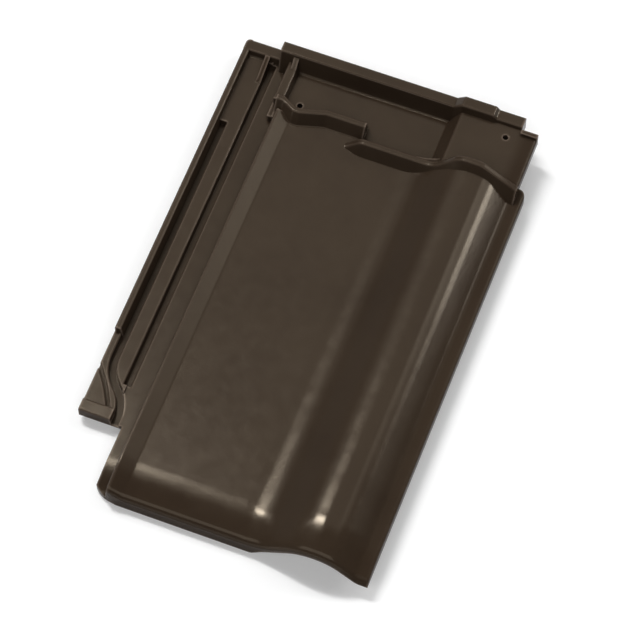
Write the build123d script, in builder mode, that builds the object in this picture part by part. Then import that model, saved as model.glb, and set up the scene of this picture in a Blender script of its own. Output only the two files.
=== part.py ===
from build123d import *
from math import radians, sin, sqrt
import os

os.makedirs("parts", exist_ok=True)

# Clay roof tile lying face up: X across the tile, Y from the nose to the head, Z up from the floor.
# Sizes named "across" are measured from the left edge and "inset" from the right edge, "along" from the
# nose and "back" from the head, and "level" from the floor.

# Overall sizes
overall_width = 294.0
overall_length = 470.0
wall = 13.0

# Cover section
land_level = 13.0
ridge_level = 29.0
pan_level = 23.0
gutter_dip = 0.3
crest_level = 47.0
flange_level = 26.0
ledge_across = 41.0
ridge_foot_across = 51.5
ridge_across = 53.5
slope_end_across = 68.0
gutter_inset = 122.0
roll_foot_inset = 100.0
crest_left_inset = 63.0
crest_right_inset = 36.0
flange_foot_inset = 10.5
land_round = 1.5
ridge_round = 2.0
slope_round = 6.0
gutter_round = 90.0
roll_foot_round = 50.0
crest_left_round = 42.0
crest_right_round = 36.0
flange_foot_round = 12.0
flange_edge_round = 3.0

# Nose
nose_fall_angle = 12.0
nose_fall_radius = 150.0
nose_round_angle = 84.0
nose_round_radius = 8.0
lip_depth = 16.0
lip_left_across = 62.0
lip_right_inset = 107.0
lip_right_slope = 10.0
lip_round = 5.0
corner_setback = 8.0
corner_width = 20.0

# Side lock on the left
lock_level = 15.0
lock_underside = 1.5
lock_nose_level = 7.0
lock_nose_run = 8.0
lock_along = 66.0
lock_inner_across = 54.0
lock_round = 1.2
lock_ease = 1.0
ease_angle = 45.0
land_across = 30.2
rim_level = 22.0
rim_width = 5.5
rim_draft = 2.0
rim_end_along = 150.0
rim_round = 1.4
rim_corner = 4.0
head_rim_depth = 11.0
head_rim_width = 38.0
rim_leg_across = 22.0
rim_leg_length = 26.0
channel_level = 8.0
channel_width = 7.0
channel_floor = 5.5
outer_channel_across = 9.8
outer_channel_top_back = 86.0
outer_channel_turn_along = 128.0
outer_channel_outlet_across = 34.0
outer_channel_outlet_along = 72.0
inner_channel_across = 30.2
inner_channel_start_along = 104.0
inner_channel_top_back = 14.0
groove_width = 3.0
groove_level = 11.5
groove_radius = 150.0
groove_along = 117.0
groove_outlet_across = 23.0
groove_outlet_along = 78.0
end_lip_width = 29.5
end_lip_depth = 12.0
end_lip_level = 18.5
end_lip_round = 1.5

# Head floor
head_floor_level = 20.5
head_roll_level = 38.0
head_left_across = 46.0
head_right_inset = 7.0
head_back = 70.0
head_roll_foot_inset = 91.5
head_roll_top_inset = 80.0
head_floor_round = 3.0
head_edge_round = 3.0
head_ridge_across = 46.5
head_ridge_width = 9.0
head_ridge_slope = 2.5
head_ridge_back = 10.0
head_ridge_round = 1.8
head_web_across = 50.5
head_web_run = 12.0
head_corner_inset = 23.0
head_corner_back = 13.0
tab_lip_depth = 4.0
tab_lip_height = 3.5

# Head rib
head_rib_level = 39.0
head_rib_across = 37.0
head_rib_width = 11.0
head_rib_slope = 0.3
head_rib_rise_inset = 89.0
head_rib_rise_width = 8.0
head_rib_roll_level = 46.0
head_rib_step_inset = 51.0
head_rib_step_width = 3.0
head_rib_right_level = 42.0
head_rib_round = 2.0

# Weather ribs between the head and the cover
rib_level = 35.0
rib_depth = 48.0
rib_width = 5.0
rib_round = 1.8
foot_round = 2.5
foot_width = 6.0
rib_nose_slope = 0.62
rib_head_slope = 0.3
left_rib_across = 50.5
left_rib_end_across = 137.0
left_rib_back = 55.0
left_rib_jog = 7.0
left_rib_jog_across = 72.5
left_rib_jog_flat = 6.0
left_rib_jog_slope = 12.0
left_rib_jog_return = 24.0
left_rib_bend = 5.0
right_rib_back = 72.0
right_rib_tip_across = 124.0
right_rib_tip_level = 23.0
right_rib_tip_slope = 14.0
right_rib_rise_inset = 86.0
right_rib_rise_width = 23.0
right_rib_crest_width = 21.0
right_rib_crest_back = 67.0
right_rib_crest_level = 55.5
right_rib_end_level = 39.0
right_rib_tip_round = 10.0
right_rib_bend = 20.0
cover_end_back = 63.5
flange_corner = 7.0

# Fixing holes
hole_radius = 2.6
left_hole_across = 70.5
left_hole_back = 49.5
right_hole_inset = 34.5
right_hole_back = 24.0

# Underside
hollow_across = 58.0
hollow_slope = 2.5
head_roll_underside = 25.0
head_roll_wall = 4.0
nib_width = 38.0
nib_depth = 20.0
nib_back = 30.0
nib_draft = 12.0
left_nib_across = 100.0
right_nib_inset = 129.0
cross_rib_width = 10.0
cross_rib_along = 225.0
cross_rib_level = 4.0
side_overlap = 51.5
lock_rib_clearance = 1.5
lock_rib_level = 12.0
lock_rib_along = 72.0
lock_rib_back = 86.0

gutter_across = overall_width - gutter_inset
roll_foot_across = overall_width - roll_foot_inset
crest_left_across = overall_width - crest_left_inset
crest_right_across = overall_width - crest_right_inset
flange_foot_across = overall_width - flange_foot_inset
lip_right_across = overall_width - lip_right_inset
head_right_across = overall_width - head_right_inset
head_roll_foot_across = overall_width - head_roll_foot_inset
head_roll_top_across = overall_width - head_roll_top_inset
head_corner_across = overall_width - head_corner_inset
head_rib_rise_across = overall_width - head_rib_rise_inset
head_rib_step_across = overall_width - head_rib_step_inset
right_rib_rise_across = overall_width - right_rib_rise_inset
right_hole_across = overall_width - right_hole_inset
right_nib_across = overall_width - right_nib_inset
cover_end_along = overall_length - cover_end_back
head_along = overall_length - head_back
head_ridge_along = overall_length - head_ridge_back
head_corner_along = overall_length - head_corner_back
outer_channel_top_along = overall_length - outer_channel_top_back
inner_channel_top_along = overall_length - inner_channel_top_back
left_rib_along = overall_length - left_rib_back
right_rib_along = overall_length - right_rib_back
right_rib_crest_along = overall_length - right_rib_crest_back
left_hole_along = overall_length - left_hole_back
right_hole_along = overall_length - right_hole_back
nib_along = overall_length - nib_back
head_rim_along = overall_length - head_rim_depth
head_rib_edge_along = overall_length - head_rib_width
lock_rib_length = overall_length - lock_rib_along - lock_rib_back
lock_rib_width = channel_width - 2 * lock_rib_clearance
inner_lock_rib_across = overall_width - side_overlap + outer_channel_across
outer_lock_rib_across = overall_width - side_overlap + inner_channel_across
left_edge = -overall_width / 2
front_edge = -overall_length / 2
below = -2 * wall
nose_run = nose_fall_radius * sin(radians(nose_fall_angle)) + nose_round_radius * (
    sin(radians(nose_round_angle)) - sin(radians(nose_fall_angle))
)
pan_underside = pan_level - wall
flange_underside = flange_level - wall


def section_at(along):
    """Upright plane across the tile; an extrusion from it runs toward the nose."""
    return Plane(origin=(left_edge, front_edge + along, 0), x_dir=(1, 0, 0), z_dir=(0, -1, 0))


def level_at(height):
    """Level plane with its origin over the left nose corner."""
    return Plane(origin=(left_edge, front_edge, height), x_dir=(1, 0, 0), z_dir=(0, 0, 1))


def side_at(across):
    """Upright plane along the tile; local X runs toward the head."""
    return Plane(origin=(left_edge + across, front_edge, 0), x_dir=(0, 1, 0), z_dir=(1, 0, 0))


def roll_points(drop):
    """Corners of gutter, roll and flange, lowered by a drop from the weather face."""
    return [
        (gutter_across, pan_level - drop),
        (roll_foot_across, pan_level - gutter_dip - drop),
        (crest_left_across, crest_level - drop),
        (crest_right_across, crest_level - drop),
        (flange_foot_across, flange_level - drop),
        (overall_width, flange_level - drop),
    ]


def rib_points(along, level, width, nose_slope, head_slope):
    """Corners of a drafted rib in an upright plane along the tile, hanging down from its crown."""
    return [
        (along - width / 2 - nose_slope * rib_depth, level - rib_depth),
        (along - width / 2, level),
        (along + width / 2, level),
        (along + width / 2 + head_slope * rib_depth, level - rib_depth),
    ]


def foot_points(along, level, top_along, top_level):
    """Corners of a rounded foot where a level floor meets a wall that rises toward the head."""
    return [(along - foot_width, level), (along, level), (top_along, top_level)]


roll_rounds = [roll_foot_round, crest_left_round, crest_right_round, flange_foot_round]

# Lines that the swept forms follow
with BuildLine(side_at(0)) as cover_path:
    straight = Line((cover_end_along, 0), (nose_run, 0))
    fall = JernArc(straight @ 1, straight % 1, nose_fall_radius, nose_fall_angle)
    JernArc(fall @ 1, fall % 1, nose_round_radius, nose_round_angle - nose_fall_angle)

with BuildLine(section_at(overall_length)) as head_rib_path:
    FilletPolyline(
        (head_rib_across, head_rib_level),
        (head_rib_rise_across, head_rib_level),
        (head_rib_rise_across + head_rib_rise_width, head_rib_roll_level),
        (head_rib_step_across, head_rib_roll_level),
        (head_rib_step_across + head_rib_step_width, head_rib_right_level),
        (head_corner_across, head_rib_right_level),
        radius=head_rib_round,
    )

with BuildLine(level_at(rib_level)) as left_rib_path:
    jog_start = left_rib_jog_across - left_rib_jog_flat / 2
    jog_end = left_rib_jog_across + left_rib_jog_flat / 2
    FilletPolyline(
        (left_rib_across, left_rib_along),
        (jog_start - left_rib_jog_slope, left_rib_along),
        (jog_start, left_rib_along - left_rib_jog),
        (jog_end, left_rib_along - left_rib_jog),
        (jog_end + left_rib_jog_return, left_rib_along),
        (left_rib_end_across, left_rib_along),
        radius=left_rib_bend,
    )

right_rib_lean = (right_rib_crest_along - right_rib_along) / (right_rib_crest_level - rib_level)
right_rib_stretch = sqrt(1 + right_rib_lean**2)
right_rib_plane = Plane(
    origin=(left_edge, front_edge + right_rib_along, rib_level),
    x_dir=(1, 0, 0),
    z_dir=(0, -1, right_rib_lean),
)
with BuildLine(right_rib_plane) as right_rib_path:
    crest_start = right_rib_rise_across + right_rib_rise_width
    crest_height = (right_rib_crest_level - rib_level) * right_rib_stretch
    FilletPolyline(
        (right_rib_tip_across, (right_rib_tip_level - rib_level) * right_rib_stretch),
        (right_rib_tip_across + right_rib_tip_slope, 0),
        (right_rib_rise_across, 0),
        (crest_start, crest_height),
        (crest_start + right_rib_crest_width, crest_height),
        (head_right_across, (right_rib_end_level - rib_level) * right_rib_stretch),
        radius=[right_rib_tip_round, right_rib_bend, right_rib_bend, right_rib_bend],
    )

with BuildLine() as outer_channel_path:
    Line((outer_channel_across, outer_channel_top_along), (outer_channel_across, outer_channel_turn_along))
    bend = TangentArc(
        (outer_channel_across, outer_channel_turn_along),
        (
            (outer_channel_across + outer_channel_outlet_across) / 2,
            (outer_channel_turn_along + outer_channel_outlet_along) / 2,
        ),
        tangent=(0, -1),
    )
    TangentArc(bend @ 1, (outer_channel_outlet_across, outer_channel_outlet_along), tangent=bend % 1)
    Line(
        (outer_channel_outlet_across, outer_channel_outlet_along),
        (outer_channel_outlet_across, lock_along - channel_width),
    )

with BuildLine() as groove_path:
    RadiusArc((-groove_width, groove_along), (groove_outlet_across, groove_outlet_along), groove_radius)

with BuildPart() as roof_tile:
    # Side lock: a slab with two water channels, a drain groove and a lip at its nose end
    with BuildSketch(section_at(overall_length)) as lock_section:
        with BuildLine():
            Polyline(
                (0, lock_underside),
                (lock_inner_across, lock_underside),
                (lock_inner_across, land_level),
                (land_across, land_level),
                (land_across, lock_level),
                (0, lock_level),
                close=True,
            )
        make_face()
    extrude(amount=overall_length - lock_along)
    with BuildSketch(side_at(0)) as lock_nose:
        with BuildLine():
            Polyline(
                (lock_along, lock_underside),
                (lock_along, lock_nose_level),
                (lock_along + lock_nose_run, lock_underside),
                close=True,
            )
        make_face()
    extrude(amount=lock_inner_across, mode=Mode.SUBTRACT)
    with BuildSketch(level_at(lock_level)) as outer_channel:
        trace(outer_channel_path.edges(), line_width=channel_width)
    extrude(amount=channel_level - lock_level, mode=Mode.SUBTRACT)
    with BuildSketch(level_at(lock_level)) as outer_channel_edge:
        trace(outer_channel_path.edges(), line_width=channel_width + 2 * lock_ease)
    extrude(amount=-lock_ease, taper=ease_angle, mode=Mode.SUBTRACT)
    with BuildSketch(level_at(lock_level)) as groove:
        trace(groove_path.edges(), line_width=groove_width)
    extrude(amount=groove_level - lock_level, mode=Mode.SUBTRACT)
    with BuildSketch(level_at(lock_level)) as groove_edge:
        trace(groove_path.edges(), line_width=groove_width + 2 * lock_ease)
    extrude(amount=-lock_ease, taper=ease_angle, mode=Mode.SUBTRACT)
    with BuildSketch(section_at(inner_channel_top_along)) as inner_channel:
        with BuildLine():
            FilletPolyline(
                (rim_width + rim_draft, lock_level),
                (inner_channel_across - channel_width / 2, lock_level),
                (inner_channel_across - channel_floor / 2, channel_level),
                (inner_channel_across + channel_floor / 2, channel_level),
                (inner_channel_across + channel_width / 2, land_level),
                (ledge_across, land_level),
                radius=lock_round,
            )
            Polyline(
                (ledge_across, land_level),
                (ledge_across, rim_level),
                (rim_width + rim_draft, rim_level),
                (rim_width + rim_draft, lock_level),
            )
        make_face()
    extrude(amount=inner_channel_top_along - inner_channel_start_along, mode=Mode.SUBTRACT)
    with BuildSketch(side_at(0)) as end_lip:
        with BuildLine():
            FilletPolyline(
                (lock_along, lock_nose_level),
                (lock_along, end_lip_level),
                (lock_along + end_lip_depth, end_lip_level),
                (lock_along + end_lip_depth, lock_nose_level),
                radius=end_lip_round,
            )
            Line((lock_along + end_lip_depth, lock_nose_level), (lock_along, lock_nose_level))
        make_face()
    extrude(amount=end_lip_width)

    # High outer rim of the side lock, turned round the head corner
    with BuildSketch(section_at(overall_length)) as rim_section:
        with BuildLine():
            FilletPolyline(
                (0, channel_level),
                (0, rim_level),
                (rim_width, rim_level),
                (rim_width + rim_draft, channel_level),
                radius=rim_round,
            )
            Line((rim_width + rim_draft, channel_level), (0, channel_level))
        make_face()
    extrude(amount=overall_length - rim_end_along)
    with BuildSketch(side_at(0)) as head_rim_section:
        with BuildLine():
            FilletPolyline(
                (overall_length, channel_level),
                (overall_length, rim_level),
                (head_rim_along, rim_level),
                (head_rim_along - rim_draft, channel_level),
                radius=rim_round,
            )
            Line((head_rim_along - rim_draft, channel_level), (overall_length, channel_level))
        make_face()
    extrude(amount=head_rim_width)
    head_rim_foot = head_rim_along - rim_draft * (rim_level - lock_level) / (rim_level - channel_level)
    head_rim_corners = foot_points(head_rim_foot, lock_level, head_rim_along, rim_level - rim_round)
    with BuildSketch(side_at(0)) as head_rim_cove:
        with BuildLine():
            FilletPolyline(*head_rim_corners, radius=foot_round)
            Polyline(
                head_rim_corners[-1],
                (head_rim_along, channel_level),
                (head_rim_foot - foot_width, channel_level),
                head_rim_corners[0],
            )
        make_face()
    extrude(amount=rim_leg_across)
    with BuildSketch(level_at(0)) as rim_corner_cut:
        with BuildLine():
            TangentArc((0, overall_length - rim_corner), (rim_corner, overall_length), tangent=(0, 1))
            Polyline((rim_corner, overall_length), (0, overall_length), (0, overall_length - rim_corner))
        make_face()
    extrude(amount=crest_level, mode=Mode.SUBTRACT)
    with BuildSketch(side_at(rim_leg_across)) as rim_leg:
        with BuildLine():
            Polyline(
                (head_rim_along, channel_level),
                (head_rim_along, rim_level),
                (head_rim_along - rim_leg_length, lock_level),
                (head_rim_along - rim_leg_length, channel_level),
                close=True,
            )
        make_face()
    extrude(amount=inner_channel_across - channel_width / 2 - rim_leg_across)

    # Cover: everything under its weather face, carried to the nose, where the face falls and rounds over
    with BuildSketch(section_at(cover_end_along)) as cover_section:
        with BuildLine():
            FilletPolyline(
                (ledge_across, land_level),
                (ridge_foot_across, land_level),
                (ridge_across, ridge_level),
                (slope_end_across, pan_level),
                *roll_points(0),
                (overall_width, below),
                radius=[land_round, ridge_round, slope_round, gutter_round, *roll_rounds, flange_edge_round],
            )
            Polyline((overall_width, below), (ledge_across, below), (ledge_across, land_level))
        make_face()
    sweep(path=cover_path.wire(), normal=(0, -1, 0))

    # Head floor with the flat-topped end of the roll, and the ridge beside it
    with BuildSketch(section_at(overall_length)) as head_section:
        with BuildLine():
            FilletPolyline(
                (head_left_across, head_floor_level),
                (head_roll_foot_across, head_floor_level),
                (head_roll_top_across, head_roll_level),
                (head_right_across, head_roll_level),
                (head_right_across, below),
                radius=[head_floor_round, head_floor_round, head_edge_round],
            )
            Polyline(
                (head_right_across, below),
                (head_left_across, below),
                (head_left_across, head_floor_level),
            )
        make_face()
    extrude(amount=overall_length - head_along)
    head_ridge_foot = head_ridge_across + head_ridge_width + head_ridge_slope
    with BuildSketch(section_at(head_ridge_along)) as head_ridge_section:
        with BuildLine():
            FilletPolyline(
                (head_ridge_across, below),
                (head_ridge_across, ridge_level),
                (head_ridge_across + head_ridge_width, ridge_level),
                (head_ridge_foot, head_floor_level),
                radius=head_ridge_round,
            )
            Polyline(
                (head_ridge_foot, head_floor_level),
                (head_ridge_foot, below),
                (head_ridge_across, below),
            )
        make_face()
    extrude(amount=head_ridge_along - left_rib_along)
    with BuildSketch(side_at(head_web_across)) as head_web:
        with BuildLine():
            Polyline(
                (head_rib_edge_along, below),
                (head_rib_edge_along, head_rib_level - head_rib_round),
                (head_rib_edge_along - head_web_run, ridge_level - head_ridge_round),
                (head_rib_edge_along - head_web_run, below),
                close=True,
            )
        make_face()
    extrude(amount=head_ridge_across + head_ridge_width - head_web_across)

    # Head rib and the two staggered weather ribs, each a drafted section carried along its crown
    head_rib_middle = overall_length - head_rib_width / 2
    head_rib_corners = rib_points(head_rib_middle, head_rib_level, head_rib_width, head_rib_slope, 0)
    with BuildSketch(side_at(head_rib_across)) as head_rib_section:
        with BuildLine():
            FilletPolyline(*head_rib_corners, radius=head_rib_round)
            Line(head_rib_corners[-1], head_rib_corners[0])
        make_face()
    sweep(path=head_rib_path.wire(), normal=(1, 0, 0))
    left_rib_corners = rib_points(left_rib_along, rib_level, rib_width, rib_nose_slope, rib_head_slope)
    with BuildSketch(side_at(left_rib_across)) as left_rib_section:
        with BuildLine():
            FilletPolyline(*left_rib_corners, radius=rib_round)
            Line(left_rib_corners[-1], left_rib_corners[0])
        make_face()
    sweep(path=left_rib_path.wire(), normal=(1, 0, 0))
    head_rib_foot = head_rib_edge_along - head_rib_slope * (head_rib_level - head_floor_level)
    head_cove_corners = foot_points(head_rib_foot, head_floor_level, head_rib_edge_along, head_rib_level)
    with BuildSketch(side_at(head_left_across)) as head_rib_cove:
        with BuildLine():
            FilletPolyline(*head_cove_corners, radius=foot_round)
            Polyline(
                head_cove_corners[-1],
                (head_rib_edge_along, pan_underside),
                (head_rib_foot - foot_width, pan_underside),
                head_cove_corners[0],
            )
        make_face()
    extrude(amount=head_roll_foot_across - head_left_across)
    left_rib_edge = left_rib_along - rib_width / 2 - rib_nose_slope * rib_round
    left_rib_foot = left_rib_along - rib_width / 2 - rib_nose_slope * (rib_level - pan_level)
    left_cove_corners = foot_points(left_rib_foot, pan_level, left_rib_edge, rib_level - rib_round)
    with BuildSketch(side_at(left_rib_across)) as left_rib_cove:
        with BuildLine():
            FilletPolyline(*left_cove_corners, radius=foot_round)
            Polyline(
                left_cove_corners[-1],
                (left_rib_along, pan_underside),
                (left_rib_foot - foot_width, pan_underside),
                left_cove_corners[0],
            )
        make_face()
    sweep(path=left_rib_path.wire(), normal=(1, 0, 0))
    tip_along = right_rib_along + right_rib_lean * (right_rib_tip_level - rib_level)
    right_rib_corners = rib_points(tip_along, right_rib_tip_level, rib_width, rib_nose_slope, rib_head_slope)
    with BuildSketch(side_at(right_rib_tip_across)) as right_rib_section:
        with BuildLine():
            FilletPolyline(*right_rib_corners, radius=rib_round)
            Line(right_rib_corners[-1], right_rib_corners[0])
        make_face()
    sweep(path=right_rib_path.wire(), normal=(1, 0, 0))

    # Cut-back right head corner with a small lip on the tab beside it, and the round end of the flange
    with BuildSketch(level_at(2 * below)) as head_corner:
        with Locations((head_corner_across, head_corner_along)):
            Rectangle(overall_width, overall_length, align=(Align.MIN, Align.MIN))
    extrude(amount=overall_width, mode=Mode.SUBTRACT)
    with BuildSketch(level_at(head_floor_level)) as tab_lip:
        with Locations((head_corner_across, head_corner_along)):
            Rectangle(
                head_right_across - head_corner_across, tab_lip_depth, align=(Align.MIN, Align.MAX)
            )
    extrude(amount=head_roll_level + tab_lip_height - head_floor_level)
    with BuildSketch(level_at(2 * below)) as flange_end:
        with BuildLine():
            TangentArc(
                (overall_width - flange_corner, cover_end_along),
                (overall_width, cover_end_along - flange_corner),
                tangent=(1, 0),
            )
            Polyline(
                (overall_width, cover_end_along - flange_corner),
                (overall_width, cover_end_along),
                (overall_width - flange_corner, cover_end_along),
            )
        make_face()
    extrude(amount=overall_width, mode=Mode.SUBTRACT)

    # Hollow underside: under the head, under the cover, and the lower outline of the front lip
    with BuildSketch(section_at(overall_length + wall)) as head_hollow:
        with BuildLine():
            Polyline(
                (-wall, lock_underside),
                (hollow_across, lock_underside),
                (hollow_across + hollow_slope, pan_underside),
                (head_roll_foot_across + head_roll_wall, pan_underside),
                (head_roll_top_across + head_roll_wall, head_roll_underside),
                (overall_width + wall, head_roll_underside),
                (overall_width + wall, 3 * below),
                (-wall, 3 * below),
                close=True,
            )
        make_face()
    extrude(amount=overall_length + wall - cover_end_along, mode=Mode.SUBTRACT)
    with BuildSketch(section_at(cover_end_along)) as cover_hollow:
        with BuildLine():
            FilletPolyline(
                (-wall, lock_underside),
                (hollow_across, lock_underside),
                (hollow_across + hollow_slope, pan_underside),
                *roll_points(wall),
                radius=[land_round, land_round, gutter_round, *roll_rounds],
            )
            Polyline(
                (overall_width, flange_underside),
                (overall_width + wall, flange_underside),
                (overall_width + wall, 3 * below),
                (-wall, 3 * below),
                (-wall, lock_underside),
            )
        make_face()
    extrude(amount=cover_end_along - lip_depth, mode=Mode.SUBTRACT)
    with BuildSketch(section_at(lip_depth)) as lip_outline:
        with BuildLine():
            FilletPolyline(
                (-wall, lock_underside),
                (hollow_across, lock_underside),
                (lip_left_across, 0),
                (lip_right_across, 0),
                (lip_right_across + lip_right_slope, pan_underside - gutter_dip),
                *roll_points(wall)[2:],
                radius=[land_round, land_round, lip_round, lip_round, *roll_rounds[1:]],
            )
            Polyline(
                (overall_width, flange_underside),
                (overall_width + wall, flange_underside),
                (overall_width + wall, 3 * below),
                (-wall, 3 * below),
                (-wall, lock_underside),
            )
        make_face()
    extrude(amount=lip_depth, mode=Mode.SUBTRACT)

    # Set-back corner of the nose under the neighbouring roll
    with BuildSketch(level_at(2 * below)) as nose_corner:
        with BuildLine():
            Spline(
                (ledge_across, corner_setback),
                (ledge_across + corner_width, 0),
                tangents=[(1, -1), (1, 0)],
            )
            Polyline(
                (ledge_across + corner_width, 0),
                (0, 0),
                (0, corner_setback),
                (ledge_across, corner_setback),
            )
        make_face()
    extrude(amount=overall_width, mode=Mode.SUBTRACT)

    # Fixing holes
    with Locations(level_at(overall_width)):
        with Locations((left_hole_across, left_hole_along), (right_hole_across, right_hole_along)):
            Hole(hole_radius)

    # Hanging nibs under the head and the cross rib under the pan
    with BuildSketch(level_at(pan_underside)) as nibs:
        with Locations((left_nib_across, nib_along), (right_nib_across, nib_along)):
            Rectangle(nib_width, nib_depth)
    extrude(amount=-pan_underside, taper=nib_draft)
    with BuildSketch(level_at(pan_underside)) as cross_rib:
        with Locations(((slope_end_across + gutter_across) / 2, cross_rib_along)):
            Rectangle(gutter_across - slope_end_across, cross_rib_width)
    extrude(amount=cross_rib_level - pan_underside, taper=nib_draft)

    # Cover lock ribs under the roll, which stand in the water channels of the tile to the right
    with BuildSketch(level_at(lock_rib_level)) as lock_ribs:
        with Locations(
            (inner_lock_rib_across, lock_rib_along + lock_rib_length / 2),
            (outer_lock_rib_across, lock_rib_along + lock_rib_length / 2),
        ):
            Rectangle(lock_rib_width, lock_rib_length)
    extrude(until=Until.NEXT)

roof_tile.part.label = "roof_tile"
export_step(roof_tile.part, "parts/roof_tile.step")
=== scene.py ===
from math import cos, pi, radians, sin, sqrt

import bmesh
import bpy
from bpy.props import FloatProperty, FloatVectorProperty, PointerProperty
from mathutils import Matrix, Vector


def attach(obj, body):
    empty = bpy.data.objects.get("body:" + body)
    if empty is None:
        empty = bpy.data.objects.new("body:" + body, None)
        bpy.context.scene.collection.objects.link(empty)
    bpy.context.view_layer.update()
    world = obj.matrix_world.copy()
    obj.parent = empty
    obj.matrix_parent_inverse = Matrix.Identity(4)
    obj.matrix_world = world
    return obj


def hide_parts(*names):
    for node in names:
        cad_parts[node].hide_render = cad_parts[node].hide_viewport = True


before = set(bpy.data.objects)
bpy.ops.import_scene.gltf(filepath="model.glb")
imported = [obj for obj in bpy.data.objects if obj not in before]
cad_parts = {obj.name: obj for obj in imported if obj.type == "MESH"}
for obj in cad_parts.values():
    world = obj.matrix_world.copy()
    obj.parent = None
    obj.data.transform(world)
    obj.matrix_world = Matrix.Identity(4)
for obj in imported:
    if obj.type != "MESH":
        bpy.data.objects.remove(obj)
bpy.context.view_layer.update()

bl_info = {
    "name": "Clay roof tile",
    "version": (1, 0, 0),
    "blender": (4, 5, 0),
    "location": "View3D > Sidebar > Roof tile",
    "description": "Dresses a clay roof tile in satin brown engobe and sets a pale studio round it",
    "category": "Object",
}

TILE_NODE = "roof_tile"

# Points of the mesh that are closer than this, in metres, become one.
WELD_REACH = 1e-6

# Face layer that the shading modifier reads, with its values for swept faces, walls and fillets.
FACE_RANK = "__mod_weightednormals_faceweight"
SWEPT, WALL, FILLET = 16384, 0, -16384

# A face is swept when its normal leans along the tile by less than this part of a unit length.
# Another face is a wall when its area, in square metres, is more than this.
SWEPT_TILT = 0.02
WALL_AREA = 0.00002

# Setting of the shading modifier at which faces count by their plain area.
PLAIN_AREA_WEIGHT = 50

# Noise in the coat. Colour noises: width in metres, detail and roughness. The others: detail and roughness.
CLOUD_NOISE = (0.085, 3.0, 0.55)
PATCH_NOISE = (0.012, 4.0, 0.6)
SPECK_NOISE = (0.0016, 2.0, 0.5)
GRAIN_NOISE = (3.0, 0.6)
WAVE_NOISE = (1.5, 0.4)
PEEL_NOISE = (2.0, 0.5)

# Each mask: the two limits of the value that it reads, and what it gives at the first and at the second.
CLOUD_MASK = (0.36, 0.66, 0.0, 1.0)
PATCH_MASK = (0.45, 0.75, 0.0, 0.35)
SPECK_MASK = (0.66, 0.74, 0.0, 0.55)
# Pale colour on raised edges: partly coat worn thin, partly painted highlight.
EDGE_WEAR_AND_HIGHLIGHT_MASK = (0.96, 0.55, 0.0, 0.9)
# Painted shade: darker colour in creases, by how closed each place is.
CREASE_SHADE_MASK = (0.7, 0.1, 0.0, 0.3)
ROUGHNESS_MASK = (0.3, 0.7, 0.10, 0.15)

# Masks that set the strength of the gloss: by how level a face is, by how open a place is, and by the place
# across the tile in metres, which dulls the outer side of the roll.
LEVEL_GLOSS = (0.25, 0.65, 0.15, 1.0)
OPEN_GLOSS = (0.50, 0.90, 0.10, 0.25)
OUTER_GLOSS = (0.1210, 0.1310, 1.0, 0.25)
GLOSS_TINT = (1.0, 0.855, 0.66, 1.0)
COAT_IOR = 1.5

# Creases, for the painted shade and the duller gloss in them, are looked for this many times further away
# than edges.
CREASE_REACH = 3
SHADE_SAMPLES = 8
ROUND_SAMPLES = 6
BUMP_STRENGTH = 0.5

# Each pane of light: name, the spans of direction that it covers as seen from the tile, written as the X and
# Y parts of a unit direction, and its brightness, where a white card is 1. Nested panes give soft borders.
PANES = (
    ("left_core", (-0.49, -0.235), (0.272, 0.334), 48.0),
    ("left_middle", (-0.58, -0.22), (0.26, 0.346), 9.0),
    ("left_border", (-0.72, -0.20), (0.235, 0.354), 2.8),
    ("left_glow", (-0.85, -0.05), (0.20, 0.34), 0.9),
    ("left_low", (-0.97, -0.75), (0.15, 0.50), 0.22),
    ("right_core", (0.69, 0.80), (0.46, 0.60), 14.5),
    ("right_middle", (0.46, 0.81), (0.44, 0.60), 2.2),
    ("right_border", (0.42, 0.95), (0.38, 0.62), 0.8),
    ("back_core", (-0.66, 0.55), (0.33, 0.60), 0.31),
    ("back_middle", (-0.80, 0.66), (0.29, 0.62), 0.31),
    ("back_border", (-0.95, 0.78), (0.24, 0.64), 0.31),
    ("front_fill", (-0.75, 0.75), (-0.90, -0.40), 1.6),
)

# Soft light from the left that gives the shadow on the floor and no highlight of its own.
KEY_PANE = ("key", (-0.75, -0.35), (0.10, 0.50), 2.4)

# Light that the floor adds to what the camera sees of it, so that it shows white outside the shadow.
FLOOR_GLOW = 0.12
WHITE = (1.0, 1.0, 1.0, 1.0)

# Width of the camera's sensor in millimetres, and how far the camera sees in metres.
SENSOR_WIDTH = 36.0
SIGHT_END = 50.0


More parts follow.
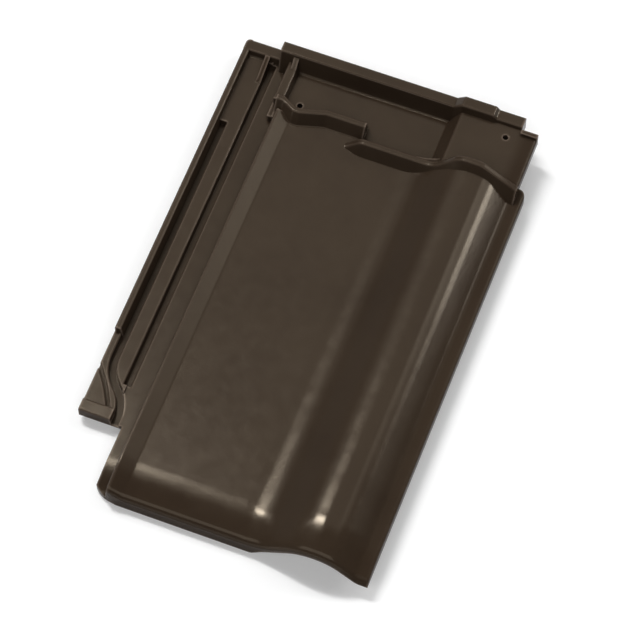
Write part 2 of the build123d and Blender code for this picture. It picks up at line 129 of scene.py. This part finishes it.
class EngobeSettings(bpy.types.PropertyGroup):
    """Sizes and colours of the fired coat on the tile, with a painted highlight on its edges and painted
    shade in its creases
    """

    coat_colour: FloatVectorProperty(
        name="Coat colour",
        description="Main colour of the fired engobe",
        default=(0.0295, 0.0192, 0.0124),
        min=0.0,
        max=1.0,
        subtype="COLOR",
    )
    pale_colour: FloatVectorProperty(
        name="Pale cloud colour",
        description="Colour of the soft clouds where the coat fired lighter",
        default=(0.0350, 0.0234, 0.0150),
        min=0.0,
        max=1.0,
        subtype="COLOR",
    )
    # Pale colour on raised edges: partly coat worn thin, partly painted highlight on the edges.
    edge_wear_and_highlight_colour: FloatVectorProperty(
        name="Thin edge colour",
        description="Colour where the coat drew thin over raised edges",
        default=(0.150, 0.112, 0.086),
        min=0.0,
        max=1.0,
        subtype="COLOR",
    )
    # Colour of the painted shade in creases, and also of the dark specks in the coat.
    crease_shade_and_speck_colour: FloatVectorProperty(
        name="Crease colour",
        description="Colour where the coat gathered in creases, and of the dark specks",
        default=(0.025, 0.0145, 0.0115),
        min=0.0,
        max=1.0,
        subtype="COLOR",
    )
    # Reach of the pale edge colour and its painted highlight; times CREASE_REACH, also the reach of the
    # painted crease shade.
    edge_reach: FloatProperty(
        name="Edge reach",
        description="How far from an edge the thin coat reaches",
        default=0.0022,
        min=0.0,
        unit="LENGTH",
    )
    edge_round: FloatProperty(
        name="Edge rounding",
        description="Radius to which the coat softens sharp edges",
        default=0.0009,
        min=0.0,
        unit="LENGTH",
    )
    grain_size: FloatProperty(
        name="Grain size",
        description="Width of the fine grain in the coat",
        default=0.0008,
        min=0.0001,
        unit="LENGTH",
    )
    grain_depth: FloatProperty(
        name="Grain depth",
        description="Depth of the fine grain in the coat",
        default=0.00004,
        min=0.0,
        unit="LENGTH",
    )
    peel_size: FloatProperty(
        name="Peel size",
        description="Width of the fine dimples in the fired coat",
        default=0.003,
        min=0.0005,
        unit="LENGTH",
    )
    peel_depth: FloatProperty(
        name="Peel depth",
        description="Depth of the fine dimples in the fired coat",
        default=0.00005,
        min=0.0,
        unit="LENGTH",
    )
    wave_size: FloatProperty(
        name="Wave size",
        description="Width of the shallow waves that pressing leaves in the clay",
        default=0.045,
        min=0.001,
        unit="LENGTH",
    )
    wave_depth: FloatProperty(
        name="Wave depth",
        description="Depth of the shallow waves that pressing leaves in the clay",
        default=0.0004,
        min=0.0,
        unit="LENGTH",
    )
    flat_angle: FloatProperty(
        name="Flat angle",
        description="Neighbouring faces that turn by less than this become one flat face",
        default=radians(0.3),
        min=0.0,
        max=pi,
        subtype="ANGLE",
    )
    crease_angle: FloatProperty(
        name="Crease angle",
        description="Where another face meets a swept one, a turn of this or more is shaded as a crease",
        default=radians(14.0),
        min=0.0,
        max=pi,
        subtype="ANGLE",
    )
    smooth_angle: FloatProperty(
        name="Smooth angle",
        description="All other edges that turn by less than this are shaded as one surface",
        default=radians(34.0),
        min=0.0,
        max=pi,
        subtype="ANGLE",
    )


class StudioSettings(bpy.types.PropertyGroup):
    """Camera, lamps and floor"""

    aim: FloatVectorProperty(
        name="Aim",
        description="Point that the camera looks at",
        default=(0.0191, -0.0131, 0.0200),
        subtype="TRANSLATION",
        unit="LENGTH",
    )
    camera_turn: FloatProperty(
        name="Camera turn",
        description="Turn of the camera round the tile, from straight before the nose toward the roll",
        default=radians(20.92),
        subtype="ANGLE",
    )
    camera_rise: FloatProperty(
        name="Camera rise",
        description="Angle of the camera above the floor",
        default=radians(62.68),
        subtype="ANGLE",
    )
    camera_reach: FloatProperty(
        name="Camera reach",
        description="Distance from the camera to its aim",
        default=3.009,
        unit="LENGTH",
    )
    lens: FloatProperty(
        name="Lens",
        description="Focal length of the camera, in millimetres",
        default=191.8,
        min=1.0,
    )
    floor_colour: FloatVectorProperty(
        name="Floor colour",
        description="Colour of the floor",
        default=(0.90, 0.90, 0.90),
        min=0.0,
        max=1.0,
        subtype="COLOR",
    )
    floor_width: FloatProperty(
        name="Floor width",
        description="Side of the square floor",
        default=12.0,
        unit="LENGTH",
    )
    lamp_reach: FloatProperty(
        name="Lamp reach",
        description="Distance from the tile to each lamp",
        default=20.0,
        min=1.0,
        unit="LENGTH",
    )
    room_light: FloatProperty(
        name="Room light",
        description="Strength of the even light from all round",
        default=0.08,
        min=0.0,
    )


def add_node(tree, kind, at, **values):
    """Adds a node at a place on the node grid and sets the given properties."""
    node = tree.nodes.new(kind)
    node.location = (at[0] * 200, at[1] * 160)
    for key, value in values.items():
        setattr(node, key, value)
    return node


def noise(tree, coords, at, width, detail, rough):
    """Noise whose features are about as wide as given, in metres."""
    node = add_node(tree, "ShaderNodeTexNoise", at)
    node.inputs["Scale"].default_value = 1.0 / width
    node.inputs["Detail"].default_value = detail
    node.inputs["Roughness"].default_value = rough
    tree.links.new(coords, node.inputs["Vector"])
    return node.outputs["Fac"]


def remap(tree, value, at, mask):
    """Maps the mask's first pair of limits onto its second, held at both ends."""
    low, high, out_low, out_high = mask
    node = add_node(tree, "ShaderNodeMapRange", at)
    node.inputs["From Min"].default_value = low
    node.inputs["From Max"].default_value = high
    node.inputs["To Min"].default_value = out_low
    node.inputs["To Max"].default_value = out_high
    tree.links.new(value, node.inputs["Value"])
    return node.outputs["Result"]


def combine(tree, how, at, first, second):
    """Puts two values together by the named sum."""
    node = add_node(tree, "ShaderNodeMath", at, operation=how)
    tree.links.new(first, node.inputs[0])
    tree.links.new(second, node.inputs[1])
    return node.outputs["Value"]


def part_of(tree, vector, axis, at):
    """One axis of a vector."""
    node = add_node(tree, "ShaderNodeSeparateXYZ", at)
    tree.links.new(vector, node.inputs["Vector"])
    return node.outputs[axis]


def blend_colour(tree, factor, first, second, at):
    """Mixes two colours, each a colour or an output, by a factor output."""
    node = add_node(tree, "ShaderNodeMix", at, data_type="RGBA")
    tree.links.new(factor, node.inputs["Factor"])
    sockets = [s for s in node.inputs if s.type == "RGBA"]
    for socket, colour in zip(sockets, (first, second)):
        if isinstance(colour, bpy.types.NodeSocket):
            tree.links.new(colour, socket)
        else:
            socket.default_value = (*colour, 1.0)
    return [s for s in node.outputs if s.type == "RGBA"][0]


def shade(tree, at, reach, inside=False):
    """How open the tile is within a reach of each place, seen from outside or from inside the clay."""
    node = add_node(
        tree, "ShaderNodeAmbientOcclusion", at, inside=inside, only_local=True, samples=SHADE_SAMPLES
    )
    node.inputs["Distance"].default_value = reach
    return node.outputs["AO"]


def add_bump(tree, at, height, depth, normal):
    """Adds relief of the given depth, in metres, to a normal."""
    node = add_node(tree, "ShaderNodeBump", at)
    node.inputs["Strength"].default_value = BUMP_STRENGTH
    node.inputs["Distance"].default_value = depth
    tree.links.new(height, node.inputs["Height"])
    tree.links.new(normal, node.inputs["Normal"])
    return node.outputs["Normal"]


def engobe_material(look):
    """Dark brown fired coat: clouded colour, pale edges that are partly worn coat and partly painted
    highlight, painted shade in creases, satin gloss and fine grain.
    """
    material = bpy.data.materials.new("brown_engobe")
    material.use_nodes = True
    tree = material.node_tree
    tree.nodes.clear()
    out = add_node(tree, "ShaderNodeOutputMaterial", (8, 0))
    skin = add_node(tree, "ShaderNodeBsdfPrincipled", (7, 0))
    tree.links.new(skin.outputs["BSDF"], out.inputs["Surface"])
    coords = add_node(tree, "ShaderNodeTexCoord", (-4, 0)).outputs["Object"]

    clouds = noise(tree, coords, (-3, 3), *CLOUD_NOISE)
    patches = noise(tree, coords, (-3, 2), *PATCH_NOISE)
    specks = noise(tree, coords, (-3, 1), *SPECK_NOISE)
    grain = noise(tree, coords, (-3, -1), look.grain_size, *GRAIN_NOISE)
    waves = noise(tree, coords, (-3, -2), look.wave_size, *WAVE_NOISE)
    peel = noise(tree, coords, (-3, -3), look.peel_size, *PEEL_NOISE)

    cloudy = remap(tree, clouds, (-1, 3), CLOUD_MASK)
    patchy = remap(tree, patches, (-1, 2), PATCH_MASK)
    specked = remap(tree, specks, (-1, 1), SPECK_MASK)
    # Pale edge colour on raised edges: partly coat worn thin, partly painted highlight.
    thin = remap(tree, shade(tree, (-1, 5), look.edge_reach, inside=True), (1, 5), EDGE_WEAR_AND_HIGHLIGHT_MASK)
    openness = shade(tree, (-1, 6), look.edge_reach * CREASE_REACH)
    # Painted shade: the colour darkens in creases and at the feet of walls, where less light reaches.
    painted_crease_shade = remap(tree, openness, (1, 6), CREASE_SHADE_MASK)
    colour = blend_colour(tree, cloudy, look.coat_colour, look.pale_colour, (1, 3))
    colour = blend_colour(tree, patchy, colour, look.pale_colour, (2, 3))
    colour = blend_colour(tree, specked, colour, look.crease_shade_and_speck_colour, (3, 3))
    colour = blend_colour(tree, thin, colour, look.edge_wear_and_highlight_colour, (4, 3))
    colour = blend_colour(tree, painted_crease_shade, colour, look.crease_shade_and_speck_colour, (5, 3))
    tree.links.new(colour, skin.inputs["Base Color"])

    tree.links.new(remap(tree, patches, (4, 0), ROUGHNESS_MASK), skin.inputs["Roughness"])
    skin.inputs["IOR"].default_value = COAT_IOR
    skin.inputs["Specular Tint"].default_value = GLOSS_TINT
    facing = add_node(tree, "ShaderNodeNewGeometry", (2, 1)).outputs["True Normal"]
    level = remap(tree, part_of(tree, facing, "Z", (3, 1)), (4, 1), LEVEL_GLOSS)
    unshaded = remap(tree, openness, (5, 1), OPEN_GLOSS)
    across = remap(tree, part_of(tree, coords, "X", (4, 2)), (5, 2), OUTER_GLOSS)
    gloss = combine(tree, "MULTIPLY", (6, 1), level, unshaded)
    gloss = combine(tree, "MULTIPLY", (6, 2), across, gloss)
    tree.links.new(gloss, skin.inputs["Specular IOR Level"])

    soft = add_node(tree, "ShaderNodeBevel", (2, -3), samples=ROUND_SAMPLES)
    soft.inputs["Radius"].default_value = look.edge_round
    normal = add_bump(tree, (3, -2), waves, look.wave_depth, soft.outputs["Normal"])
    normal = add_bump(tree, (4, -3), peel, look.peel_depth, normal)
    normal = add_bump(tree, (5, -2), grain, look.grain_depth, normal)
    tree.links.new(normal, skin.inputs["Normal"])
    return material


def rank_faces(shape, look):
    """Ranks the faces, so that swept ones lead the shading and fillets follow, and marks the creases."""
    shape.normal_update()
    rank = shape.faces.layers.int.new(FACE_RANK)
    for face in shape.faces:
        if abs(face.normal.y) < SWEPT_TILT:
            face[rank] = SWEPT
        else:
            face[rank] = WALL if face.calc_area() > WALL_AREA else FILLET
        face.smooth = True
    for edge in shape.edges:
        swept = sum(face[rank] == SWEPT for face in edge.link_faces)
        limit = look.crease_angle if swept == 1 else look.smooth_angle
        edge.smooth = edge.calc_face_angle() < limit


class TILE_OT_dress_tile(bpy.types.Operator):
    """Make the fired tile: the pressed body with its coat of engobe"""

    bl_idname = "roof_tile.dress_tile"
    bl_label = "Dress the tile"

    def execute(self, context):
        look = context.scene.tile_engobe
        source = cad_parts.get(TILE_NODE)
        if source is None:
            raise RuntimeError("the frame has no roof tile to dress")
        mesh = source.data.copy()
        mesh.name = "tile_body"
        shape = bmesh.new()
        shape.from_mesh(mesh)
        bmesh.ops.remove_doubles(shape, verts=shape.verts, dist=WELD_REACH)
        bmesh.ops.dissolve_limit(
            shape,
            angle_limit=look.flat_angle,
            verts=shape.verts,
            edges=shape.edges,
            use_dissolve_boundaries=False,
        )
        rank_faces(shape, look)
        shape.to_mesh(mesh)
        shape.free()
        mesh.materials.clear()
        mesh.materials.append(engobe_material(look))
        tile = bpy.data.objects.new("tile_body", mesh)
        context.scene.collection.objects.link(tile)
        even = tile.modifiers.new("even_shading", "WEIGHTED_NORMAL")
        even.mode = "FACE_AREA"
        even.weight = PLAIN_AREA_WEIGHT
        even.keep_sharp = True
        even.use_face_influence = True
        plain = bpy.data.meshes.new_from_object(tile.evaluated_get(context.evaluated_depsgraph_get()))
        tile.modifiers.clear()
        tile.data = plain
        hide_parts(TILE_NODE)
        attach(tile, "root")
        return {"FINISHED"}


def add_pane(scene, studio, name, span_x, span_y, glow):
    """Flat lamp facing the tile that covers the given spans of direction."""
    x, y = sum(span_x) / 2, sum(span_y) / 2
    back = Vector((x, y, sqrt(1.0 - x * x - y * y)))
    side = Vector((back.z, 0.0, -back.x)).normalized()
    rise = back.cross(side)
    data = bpy.data.lights.new(name, "AREA")
    data.shape = "RECTANGLE"
    data.size = studio.lamp_reach * (span_x[1] - span_x[0]) / side.x
    data.size_y = studio.lamp_reach * (span_y[1] - span_y[0]) / rise.y
    data.energy = glow * pi * data.size * data.size_y
    lamp = bpy.data.objects.new(name, data)
    turn = Matrix((side, rise, back)).transposed()
    lamp.matrix_world = Matrix.Translation(back * studio.lamp_reach) @ turn.to_4x4()
    scene.collection.objects.link(lamp)
    return lamp


class TILE_OT_set_studio(bpy.types.Operator):
    """Set the pale floor, the lamps and the camera round the tile"""

    bl_idname = "roof_tile.set_studio"
    bl_label = "Set the studio"

    def execute(self, context):
        scene = context.scene
        studio = scene.tile_studio
        scene.view_settings.view_transform = "Standard"
        self.add_floor(scene, studio)
        self.set_world(scene, studio)
        for pane in PANES:
            add_pane(scene, studio, *pane)
        add_pane(scene, studio, *KEY_PANE).visible_glossy = False
        self.add_camera(scene, studio)
        return {"FINISHED"}

    def add_floor(self, scene, studio):
        """Square floor under the tile."""
        half = studio.floor_width / 2
        corners = [(-half, -half, 0), (half, -half, 0), (half, half, 0), (-half, half, 0)]
        mesh = bpy.data.meshes.new("floor")
        mesh.from_pydata(corners, [], [(0, 1, 2, 3)])
        floor = bpy.data.objects.new("floor", mesh)
        scene.collection.objects.link(floor)
        mesh.materials.append(self.floor_material(studio))

    def floor_material(self, studio):
        """Pale matt floor that shows white to the camera outside the tile's shadow."""
        material = bpy.data.materials.new("pale_floor")
        material.use_nodes = True
        tree = material.node_tree
        tree.nodes.clear()
        out = add_node(tree, "ShaderNodeOutputMaterial", (4, 0))
        paint = add_node(tree, "ShaderNodeBsdfDiffuse", (1, 1))
        paint.inputs["Color"].default_value = (*studio.floor_colour, 1.0)
        glow = add_node(tree, "ShaderNodeEmission", (1, -1))
        glow.inputs["Strength"].default_value = FLOOR_GLOW
        total = add_node(tree, "ShaderNodeAddShader", (2, 0))
        tree.links.new(paint.outputs["BSDF"], total.inputs[0])
        tree.links.new(glow.outputs["Emission"], total.inputs[1])
        path = add_node(tree, "ShaderNodeLightPath", (0, 3)).outputs
        seen = combine(tree, "MAXIMUM", (1, 3), path["Is Camera Ray"], path["Is Glossy Ray"])
        seen = combine(tree, "MAXIMUM", (2, 3), seen, path["Is Transmission Ray"])
        pick = add_node(tree, "ShaderNodeMixShader", (3, 0))
        tree.links.new(seen, pick.inputs["Fac"])
        tree.links.new(paint.outputs["BSDF"], pick.inputs[1])
        tree.links.new(total.outputs["Shader"], pick.inputs[2])
        tree.links.new(pick.outputs["Shader"], out.inputs["Surface"])
        return material

    def set_world(self, scene, studio):
        """Even light from all round."""
        world = bpy.data.worlds.new("studio_room")
        scene.world = world
        world.use_nodes = True
        room = world.node_tree.nodes["Background"]
        room.inputs["Color"].default_value = WHITE
        room.inputs["Strength"].default_value = studio.room_light

    def add_camera(self, scene, studio):
        """Camera at its turn and rise round the aim."""
        data = bpy.data.cameras.new("camera")
        data.sensor_width = SENSOR_WIDTH
        data.lens = studio.lens
        data.clip_end = SIGHT_END
        camera = bpy.data.objects.new("camera", data)
        turn, rise = studio.camera_turn, studio.camera_rise
        away = Vector((sin(turn) * cos(rise), -cos(turn) * cos(rise), sin(rise)))
        camera.location = Vector(studio.aim) + away * studio.camera_reach
        camera.rotation_euler = (-away).to_track_quat("-Z", "Y").to_euler()
        scene.collection.objects.link(camera)
        scene.camera = camera


class TILE_PT_sidebar(bpy.types.Panel):
    """Roof tile settings and steps"""

    bl_label = "Roof tile"
    bl_idname = "TILE_PT_sidebar"
    bl_space_type = "VIEW_3D"
    bl_region_type = "UI"
    bl_category = "Roof tile"

    def draw(self, context):
        layout = self.layout
        for settings in (context.scene.tile_engobe, context.scene.tile_studio):
            box = layout.box()
            for name in settings.bl_rna.properties.keys():
                if name not in {"rna_type", "name"}:
                    box.prop(settings, name)
        layout.operator(TILE_OT_dress_tile.bl_idname)
        layout.operator(TILE_OT_set_studio.bl_idname)


CLASSES = (
    EngobeSettings,
    StudioSettings,
    TILE_OT_dress_tile,
    TILE_OT_set_studio,
    TILE_PT_sidebar,
)


def register():
    """Registers the classes and hangs the settings on the scene."""
    for cls in CLASSES:
        bpy.utils.register_class(cls)
    bpy.types.Scene.tile_engobe = PointerProperty(type=EngobeSettings)
    bpy.types.Scene.tile_studio = PointerProperty(type=StudioSettings)


def unregister():
    """Takes the settings off the scene and unregisters the classes."""
    del bpy.types.Scene.tile_studio
    del bpy.types.Scene.tile_engobe
    for cls in reversed(CLASSES):
        bpy.utils.unregister_class(cls)


def main():
    """Builds the dressed tile and its studio."""
    register()
    bpy.ops.roof_tile.dress_tile()
    bpy.ops.roof_tile.set_studio()


if __name__ == "__main__":
    main()
